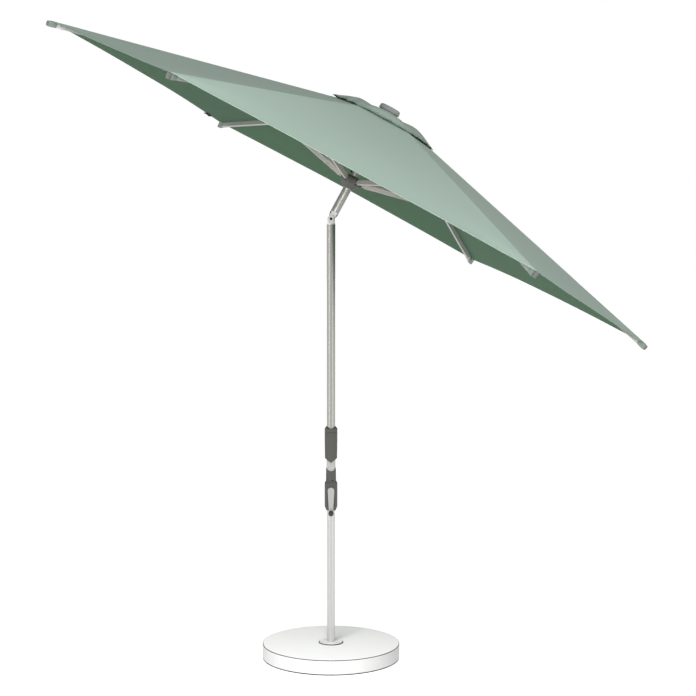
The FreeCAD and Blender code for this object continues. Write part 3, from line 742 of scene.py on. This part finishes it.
def vent_grids(vent):
    """The vent cap's upper and lower points and its stored distances, from the neck to the hem."""
    columns = RIBS * VENT_STEPS
    azimuth = 2 * math.pi * np.arange(columns) / columns
    from_corner = (azimuth + HALF_GORE) % (2 * HALF_GORE) - HALF_GORE
    spot = from_corner / HALF_GORE
    hem_mm = np.array([14.0, 12.5, 2.0, 0.8, 0.0])
    rows = np.concatenate([np.linspace(0, 0.93, VENT_ROWS), 1 - hem_mm * MM / vent.corner_r])[:, None]

    edge_hollow, corner_round = 0.045, 0.07
    hexagon = math.cos(HALF_GORE) / np.cos(HALF_GORE - np.abs(from_corner))
    hollow = 1 - edge_hollow * (1 - (2 * np.abs(spot) - 1) ** 2) * rows ** 2
    rounding = 1 - corner_round * hump(spot, 0, 0.16) * rows ** 2
    outline = vent.corner_r * hexagon * hollow * rounding
    radius = vent.neck_r + (outline - vent.neck_r) * rows

    even_drop, late_drop = 0.42, 0.58
    neck_dip, pleat_depth, ripple_height, crease_height, lift = 3 * MM, 3.5 * MM, 2.2 * MM, 2.2 * MM, 6 * MM
    middle = np.cos(math.pi / 2 * (1 - np.abs(spot)))
    height = vent.top - vent.drop * (even_drop * rows + late_drop * rows ** 2)
    height = height - neck_dip * hump(rows, 0.22, 0.14)
    height = height + vent.billow * hump(rows, 0.68, 0.22) * (0.45 + 0.55 * middle)
    arc = from_corner * vent.corner_r * rows
    height = height - pleat_depth * hump(arc, 0, 16 * MM) * rows ** 2
    ripple = np.sin(azimuth * 17 + 1.3) * 0.5 + np.sin(azimuth * 29 + 0.4) * 0.3
    height = height + ripple_height * ripple * rows ** 5
    crease = np.sin(arc / (11 * MM)) * np.exp(-np.abs(spot) * 4.5)
    height = height + crease_height * crease * rows ** 3
    lifted = hump(azimuth, math.pi, 0.16)
    height = height + lift * lifted * np.clip((rows - 0.72) / 0.28, 0, 1) ** 1.5

    hem_layers, layers_under, roll_share = 0.7, 0.5, 0.42
    rim = (1 - rows) * vent.corner_r * np.ones_like(azimuth)
    in_hem = np.clip((VENT_HEM - rim) / VENT_HEM_STEP, 0, 1)
    rolled = np.clip(1 - rim / VENT_HEM_STEP, 0, 1) * roll_share * vent.thickness
    over = vent.thickness * (1 + hem_layers * in_hem) - rolled
    under = -vent.thickness * layers_under * in_hem + rolled

    def placed(lift_by):
        return np.stack([radius * np.cos(azimuth), radius * np.sin(azimuth), height + lift_by], axis=2)

    seam = np.abs(from_corner) * radius
    stored = {"seam": seam, "rim": rim, "warp": radius * np.sin(from_corner), "weft": radius}
    return placed(over), placed(under), stored


# ---------------------------------------------------------------- operators

class PARASOL_OT_studio(bpy.types.Operator):
    """Sets the floor, the surroundings, the lights and the camera"""

    bl_idname = "parasol.studio"
    bl_label = "Studio"

    HALF_FLOOR = 60.0
    FLOOR_GAP = 0.2 * MM
    FLOOR_GLOW = 0.96
    CEILING_BLEND = (0.3, 0.5)
    GROUND_BLEND = (-0.35, -0.1)

    def execute(self, context):
        studio = context.scene.parasol_studio
        self.floor()
        self.surroundings(context, studio)
        pole, head, base = (0, 0, 1.2), (0.1, 0, 2.4), (0, 0, 0)
        self.light("Key", (-1.2, -5.2, 5.0), (0, 0, 1.9), studio.key_power, width=4.2, height=3.2)
        for side in (-1, 1):
            self.light("Strip", (side * 3.4, -3.0, 1.4), pole, studio.strip_power, width=0.5, height=3.2)
        front, over = (-0.4, -7.5, 2.75), (-0.6, -2.6, 3.2)
        self.light_for("cloth_lit", front, head, studio.cloth_power, size=2.4)
        self.light_for("metal_lit", front, head, studio.metal_power, size=2.4)
        self.light_for("slab_lit", over, base, studio.slab_power, size=2.0)
        self.camera(context, studio)
        context.scene.view_settings.view_transform = "Standard"
        return {"FINISHED"}

    def floor(self):
        """A white floor whose own glow keeps the shadows faint."""
        mesh = bpy.data.meshes.new("floor")
        half, level = self.HALF_FLOOR, -self.FLOOR_GAP
        corners = [(-half, -half, level), (half, -half, level), (half, half, level), (-half, half, level)]
        mesh.from_pydata(corners, [], [(0, 1, 2, 3)])
        paint = Finish("floor_paint", {
            "Base Color": (0.5, 0.5, 0.5, 1), "Roughness": 0.9, "Specular IOR Level": 0.1,
            "Emission Color": (1, 1, 1, 1), "Emission Strength": self.FLOOR_GLOW})
        mesh.materials.append(paint.material)
        floor = bpy.data.objects.new("floor", mesh)
        bpy.context.scene.collection.objects.link(floor)
        floor.visible_diffuse = False

    def surroundings(self, context, studio):
        """White to the camera. As a light, bright at the horizon and dimmer from above and below."""
        world = bpy.data.worlds.new("studio")
        world.use_nodes = True
        context.scene.world = world
        nodes = Nodes(world.node_tree)
        around = nodes.node("ShaderNodeTexCoord", out="Generated")
        height = nodes.node("ShaderNodeSeparateXYZ", None, {0: around}, out="Z")
        white = (1, 1, 1, 1)
        ceiling, horizon = tone(white, studio.ceiling), tone(white, studio.horizon)
        below = tone(white, studio.below)
        upper = nodes.mix(nodes.scale(height, *self.CEILING_BLEND), horizon, ceiling)
        shade = nodes.mix(nodes.scale(height, *self.GROUND_BLEND), below, upper)
        seen = nodes.node("ShaderNodeLightPath", out="Is Camera Ray")
        shade = nodes.mix(seen, shade, white)
        nodes.feed(world.node_tree.nodes["Background"].inputs["Color"], shade)

    def light(self, name, place, target, power, width, height):
        """A rectangular light at a place, turned to face its target."""
        lamp = bpy.data.lights.new(name, "AREA")
        lamp.shape = "RECTANGLE"
        lamp.size, lamp.size_y = width, height
        lamp.energy = power
        made = bpy.data.objects.new(name, lamp)
        bpy.context.scene.collection.objects.link(made)
        made.location = place
        made.rotation_euler = (Vector(target) - Vector(place)).to_track_quat("-Z", "Y").to_euler()
        return made

    def light_for(self, group, place, target, power, size):
        """A light that only one group of pieces receives."""
        lamp = self.light(group, place, target, power, size, size)
        lamp.visible_camera = False
        lamp.light_linking.receiver_collection = bpy.data.collections.new(group)

    def camera(self, context, studio):
        """A camera straight in front of the pole."""
        view = bpy.data.cameras.new("camera")
        view.lens = studio.lens
        view.shift_x, view.shift_y = studio.shift
        made = bpy.data.objects.new("camera", view)
        context.scene.collection.objects.link(made)
        made.location = (0, -studio.distance, studio.height)
        made.rotation_euler = (math.pi / 2 - studio.dip, 0, 0)
        context.scene.camera = made


class PARASOL_OT_finishes(bpy.types.Operator):
    """Gives every CAD piece its finish and rounds the edges that show"""

    bl_idname = "parasol.finishes"
    bl_label = "Finishes"

    # Widths of the rounded edges, in millimetres.
    SOFT_EDGES = {
        "housing_front": 1.0, "housing_rear": 1.0, "tilt_collar": 0.9, "collar_crown": 0.8, "crank_arm": 1.2,
        "crank_knob": 1.2, "knuckle_fork": 0.8, "knuckle_tongue": 1.0, "runner": 1.0, "top_hub": 0.8,
        "finial_base": 0.8, "stop_button": 0.6, "socket": 0.6, "flange_gasket": 0.6, "knuckle_pin": 0.5,
        "knob_pin": 0.4, "foot_pad": 0.8,
    }
    TUBE_EDGE = 0.8

    # Pieces that are finished in another slot's darker material.
    DARKER = {"knob_pin": "knob_plastic", "housing_screws": "black_steel"}

    def execute(self, context):
        for name, made in frame["nodes"].items():
            key = self.DARKER.get(name, NODE_SLOTS[name])
            coat = finish(key, lean=LEAN) if name == "upper_pole" else finish(key)
            made.data.materials.clear()
            made.data.materials.append(coat)
        for name, width in self.SOFT_EDGES.items():
            soften(frame["nodes"][name], width * MM)
        light_with("metal_lit", frame["nodes"]["upper_pole"], frame["nodes"]["runner"])
        light_with("slab_lit", *(frame["nodes"][name] for name in ("base_slab", "socket", "flange_gasket")))
        for rib in range(1, RIBS + 1):
            for name in ("rib_%d" % rib, "strut_%d" % rib):
                soften(frame["nodes"][name], self.TUBE_EDGE * MM)
                light_with("metal_lit", frame["nodes"][name])
        return {"FINISHED"}


class PARASOL_OT_canopy(bpy.types.Operator):
    """Lays a wedge of cloth over each rib, seamed along the rib and hemmed at the rim"""

    bl_idname = "parasol.canopy"
    bl_label = "Canopy"

    def execute(self, context):
        for rib in range(1, RIBS + 1):
            canopy_wedge(context.scene.parasol_cloth, rib)
        return {"FINISHED"}


class PARASOL_OT_vent_cap(bpy.types.Operator):
    """Sets the vent cap over the canopy's hole, tied down at its corners"""

    bl_idname = "parasol.vent_cap"
    bl_label = "Vent cap"

    # Width of the cap's edge that is painted dark as the shadow in the gap under its hem.
    BINDING = 5 * MM

    def execute(self, context):
        vent = context.scene.parasol_vent
        top, bottom, stored = vent_grids(vent)
        mesh = shell_mesh("vent_cap_cloth", to_row(top), to_row(bottom), ring=True, stored=stored)
        # The cap's edge carries a painted shadow of the gap under its hem; its lower faces take the darker
        # underside finish, which is painted shade.
        faces = [finish("canopy_fabric", binding=self.BINDING), finish("lining")]
        cap = add_object("vent_cap_cloth", mesh, faces, "head")
        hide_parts("vent_cap")
        light_with("cloth_lit", cap)
        return {"FINISHED"}


class PARASOL_OT_finial(bpy.types.Operator):
    """Makes the finial's ribbed cap"""

    bl_idname = "parasol.finial"
    bl_label = "Finial"

    RADIUS = 49 * MM
    LOW = 526 * MM
    HIGH = 552 * MM
    FLUTES = 12
    FLUTE_STEPS = 10
    FLUTE_DEPTH = 0.05

    # Share of the radius, share of the height, and how deep the flutes are there.
    PROFILE = (
        (0.30, 0.00, 0), (0.80, 0.00, 0), (0.86, 0.05, 0), (0.86, 0.14, 0), (0.97, 0.18, 0), (1.00, 0.25, 0),
        (1.00, 0.34, 0.3), (0.985, 0.40, 1), (0.985, 0.70, 1), (0.97, 0.80, 0.8), (0.93, 0.90, 0.3),
        (0.86, 0.965, 0), (0.76, 0.985, 0), (0.70, 0.95, 0), (0.40, 0.985, 0), (0.14, 1.0, 0),
    )

    def execute(self, context):
        count = self.FLUTES * self.FLUTE_STEPS
        rings = []
        for share, rise, flute in self.PROFILE:
            z = self.LOW + rise * (self.HIGH - self.LOW)
            ring = []
            for step in range(count):
                angle = 2 * math.pi * step / count
                dip = abs(math.sin(angle * self.FLUTES / 2)) ** 0.4
                r = self.RADIUS * share * (1 - self.FLUTE_DEPTH * flute * (1 - dip))
                ring.append(HEAD @ Vector((r * math.cos(angle), r * math.sin(angle), z)))
            rings.append(ring)
        mesh = loft_mesh("finial_ribbed_cap", rings)
        cap = add_object("finial_ribbed_cap", mesh, [finish("cap_grey")], "head")
        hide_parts("finial_cap")
        light_with("metal_lit", cap)
        return {"FINISHED"}


class PARASOL_OT_rib_tips(bpy.types.Operator):
    """Caps each rib's end and holds it in a sewn corner pocket"""

    bl_idname = "parasol.rib_tips"
    bl_label = "Rib tips"

    # Millimetres from the tube's end, and how much wider and higher than the tube.
    CAP_SECTIONS = (
        (-12, 1.6, 1.4), (-3, 1.8, 1.6), (-2.8, 0.6, 0.6), (-1.8, 0.6, 0.6), (-1.6, 1.8, 1.6),
        (1.0, 0.6, 0.0), (3.6, -4.0, -9.0),
    )
    CAP_CORNER = 2.2 * MM

    # Millimetres from the tube's end, how much wider, and what share of the full depth.
    POCKET_SECTIONS = ((-46, 0.0, 0.5), (-40, 0.6, 0.9), (-20, 0.3, 1.0), (-8, 1.2, 1.0))
    POCKET_PLAY = 0.6 * MM
    POCKET_SKIN = 1.1 * MM
    POCKET_WING = 5 * MM

    def execute(self, context):
        for rib in range(1, RIBS + 1):
            place = rib_place(rib)
            body = "rib_%d" % rib
            cap = add_object("rib_cap_%d" % rib, self.cap_mesh(place), [finish("cap_grey")], body)
            soften(cap, 0.5 * MM)
            pocket = add_object(
                "corner_pocket_%d" % rib, self.pocket_mesh(place), [finish("piping")], body)
            soften(pocket, 0.4 * MM)
        return {"FINISHED"}

    def cap_mesh(self, place):
        """A boot round the tube's end with a step and a rounded nose."""
        width, height = 2 * RIB_HALF_W, 2 * RIB_HALF_H
        rings = [
            rounded_ring(RIB_TIP + out * MM, width + wider * MM, height + higher * MM, self.CAP_CORNER)
            for out, wider, higher in self.CAP_SECTIONS]
        return loft_mesh("rib_cap", [[place @ Vector(point) for point in ring] for ring in rings])

    def pocket_mesh(self, place):
        """A U-shaped sleeve under the tube's end, sewn up into the corner of the cloth."""
        inner_w, inner_h = RIB_HALF_W + self.POCKET_PLAY, RIB_HALF_H + self.POCKET_PLAY
        top, skin = inner_h, self.POCKET_SKIN
        rings = []
        for out, flare, depth in self.POCKET_SECTIONS:
            wide, deep = inner_w + flare * MM, inner_h * depth
            half = [(wide + skin + self.POCKET_WING, top), (wide + skin, top - 2 * MM), (wide + skin, -deep),
                    (wide - 1 * MM, -deep - skin)]
            outer = half + [(-y, z) for y, z in reversed(half)]
            inside = [(-wide, top - 1 * MM), (-wide, -deep + 0.2 * MM), (wide, -deep + 0.2 * MM),
                      (wide, top - 1 * MM)]
            rings.append([place @ Vector((RIB_TIP + out * MM, y, z)) for y, z in outer + inside])
        return loft_mesh("corner_pocket", rings)


class PARASOL_OT_tie_strap(bpy.types.Operator):
    """Sews the folded tie strap under the hem"""

    bl_idname = "parasol.tie_strap"
    bl_label = "Tie strap"

    RIB = 3
    SHARE = 0.72
    HALF_THICK = 0.8
    INNER_EDGE = -13
    OUTER_EDGE = 5

    # The folded strap's centreline, in millimetres: along the hem, and below it.
    FOLDS = (
        (-30, 2.2), (-16, 2.0), (4, 2.2), (22, 2.6), (30, 4.4), (31, 6.2), (27, 7.0), (12, 4.8), (-6, 4.4),
        (-22, 5.4), (-29, 7.4),
    )

    def execute(self, context):
        cloth = context.scene.parasol_cloth
        half_rim = RIM_R * math.sin(HALF_GORE)
        middle = rib_turn(self.RIB) + HALF_GORE
        out = Vector((math.cos(middle), math.sin(middle), 0))
        along = Vector((-out.y, out.x, 0))
        fall = out * math.cos(GORE_FALL) - Vector((0, 0, math.sin(GORE_FALL)))
        up = along.cross(fall).normalized() * -1
        peak = Vector((0, 0, cloth_peak(cloth)))
        rings = []
        for step, drop in self.FOLDS:
            across = -self.SHARE * half_rim + step * MM
            from_rib = 1 - (across / half_rim) ** 2
            edge = peak + fall * (RIM_R * MID_TO_FALL - cloth.rim_hollow * from_rib) + along * across
            edge -= up * cloth.sag * from_rib
            low, high = -drop - self.HALF_THICK, -drop + self.HALF_THICK
            corners = [(self.INNER_EDGE, low), (self.OUTER_EDGE, low), (self.OUTER_EDGE, high),
                       (self.INNER_EDGE, high)]
            rings.append([HEAD @ (edge + fall * (reach * MM) + up * (lift * MM)) for reach, lift in corners])
        mesh = loft_mesh("tie_strap_webbing", rings)
        body = "rib_%d" % self.RIB
        strap = add_object("tie_strap_webbing", mesh, [finish("strap_webbing")], body)
        soften(strap, 0.3 * MM)
        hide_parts("tie_strap")
        narrow_with_cloth(strap)
        return {"FINISHED"}


STEPS = (
    PARASOL_OT_studio, PARASOL_OT_finishes, PARASOL_OT_canopy, PARASOL_OT_vent_cap, PARASOL_OT_finial,
    PARASOL_OT_rib_tips, PARASOL_OT_tie_strap,
)


class PARASOL_PT_maker(bpy.types.Panel):
    """Lists the settings and the steps in the order they are run"""

    bl_label = "Parasol"
    bl_idname = "PARASOL_PT_maker"
    bl_space_type = "VIEW_3D"
    bl_region_type = "UI"
    bl_category = "Parasol"

    def draw(self, context):
        for key in SETTINGS:
            group = getattr(context.scene, key)
            for name in group.__annotations__:
                self.layout.prop(group, name)
        for step in STEPS:
            self.layout.operator(step.bl_idname)


SETTINGS = {
    "parasol_cloth": ParasolCloth, "parasol_vent": ParasolVent, "parasol_colours": ParasolColours,
    "parasol_studio": ParasolStudio,
}


def register():
    for made in (*SETTINGS.values(), *STEPS, PARASOL_PT_maker):
        bpy.utils.register_class(made)
    for key, group in SETTINGS.items():
        setattr(bpy.types.Scene, key, PointerProperty(type=group))


def unregister():
    for key in SETTINGS:
        delattr(bpy.types.Scene, key)
    for made in (PARASOL_PT_maker, *reversed(STEPS), *SETTINGS.values()):
        bpy.utils.unregister_class(made)


def main():
    register()
    for step in STEPS:
        group, name = step.bl_idname.split(".")
        getattr(getattr(bpy.ops, group), name)()


if __name__ == "__main__":
    main()
